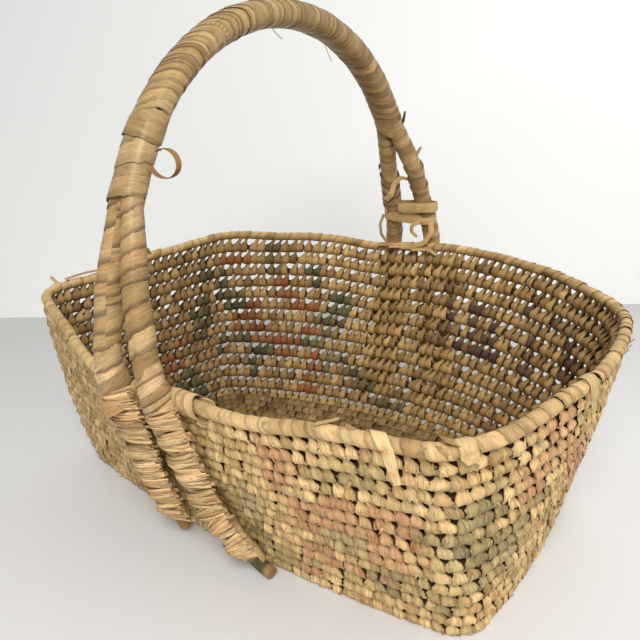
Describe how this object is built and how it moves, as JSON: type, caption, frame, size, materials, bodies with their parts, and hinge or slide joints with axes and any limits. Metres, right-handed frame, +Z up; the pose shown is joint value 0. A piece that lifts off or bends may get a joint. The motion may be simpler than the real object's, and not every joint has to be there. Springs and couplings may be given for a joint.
{
  "type": "basket",
  "caption": "Oblong coiled and stitched fruit basket with open rows of holes, sloping walls and a tall fixed wrapped handle across the middle.",
  "frame": {"origin": "on the underside of the middle of the base, where the basket rests, in the plane of the handle", "axes": "+Z up, +X along the basket's length, +Y across it towards the higher back wall; the handle's arch stands in the YZ plane"},
  "size_m": [0.4214, 0.3284, 0.3445],
  "materials": {
    "straw_wrap": "split palm leaf wrapped round the coil, dry and slightly glossy",
    "straw_stitch": "narrow palm leaf stitches between the courses",
    "rim_leaf": "broad leaf strip wound close round the rim",
    "handle_leaf": "broad shiny leaf strip wound round the handle",
    "raffia": "frayed bundles of raffia",
    "rod_wood": "bare palm stalk rods with a dry surface",
    "splint": "thin flat strips of leaf"
  },
  "bodies": {
    "root": {"back_lashings_left": "raffia", "back_lashings_right": "raffia", "back_leg_wrap_left": "handle_leaf", "back_leg_wrap_right": "handle_leaf", "back_tie_band_lower": "splint", "back_tie_band_upper": "splint", "base_core": "straw_wrap", "base_course_01": "straw_wrap", "base_course_02": "straw_wrap", "base_course_03": "straw_wrap", "base_course_04": "straw_wrap", "base_course_05": "straw_wrap", "base_course_06": "straw_wrap", "base_course_07": "straw_wrap", "base_course_08": "straw_wrap", "base_course_09": "straw_wrap", "base_stitching": "straw_stitch", "front_lashings_left": "raffia", "front_lashings_right": "raffia", "front_leg_wrap_left": "handle_leaf", "front_leg_wrap_right": "handle_leaf", "grip_loose_end": "splint", "handle_grip_wrap": "handle_leaf", "handle_rod_left": "rod_wood", "handle_rod_right": "rod_wood", "rim_binding": "rim_leaf", "rim_core": "rod_wood", "rim_splint_corner": "splint", "rim_splint_front": "splint", "rim_splint_left": "splint", "rim_splint_right": "splint", "rim_stitching": "straw_stitch", "wall_course_01": "straw_wrap", "wall_course_02": "straw_wrap", "wall_course_03": "straw_wrap", "wall_course_04": "straw_wrap", "wall_course_05": "straw_wrap", "wall_course_06": "straw_wrap", "wall_course_07": "straw_wrap", "wall_course_08": "straw_wrap", "wall_course_09": "straw_wrap", "wall_course_10": "straw_wrap", "wall_course_11": "straw_wrap", "wall_course_12": "straw_wrap", "wall_course_13": "straw_wrap", "wall_stitching_01": "straw_stitch", "wall_stitching_02": "straw_stitch", "wall_stitching_03": "straw_stitch", "wall_stitching_04": "straw_stitch", "wall_stitching_05": "straw_stitch", "wall_stitching_06": "straw_stitch", "wall_stitching_07": "straw_stitch", "wall_stitching_08": "straw_stitch", "wall_stitching_09": "straw_stitch", "wall_stitching_10": "straw_stitch", "wall_stitching_11": "straw_stitch", "wall_stitching_12": "straw_stitch", "wall_stitching_13": "straw_stitch"}
  },
  "joints": []
}
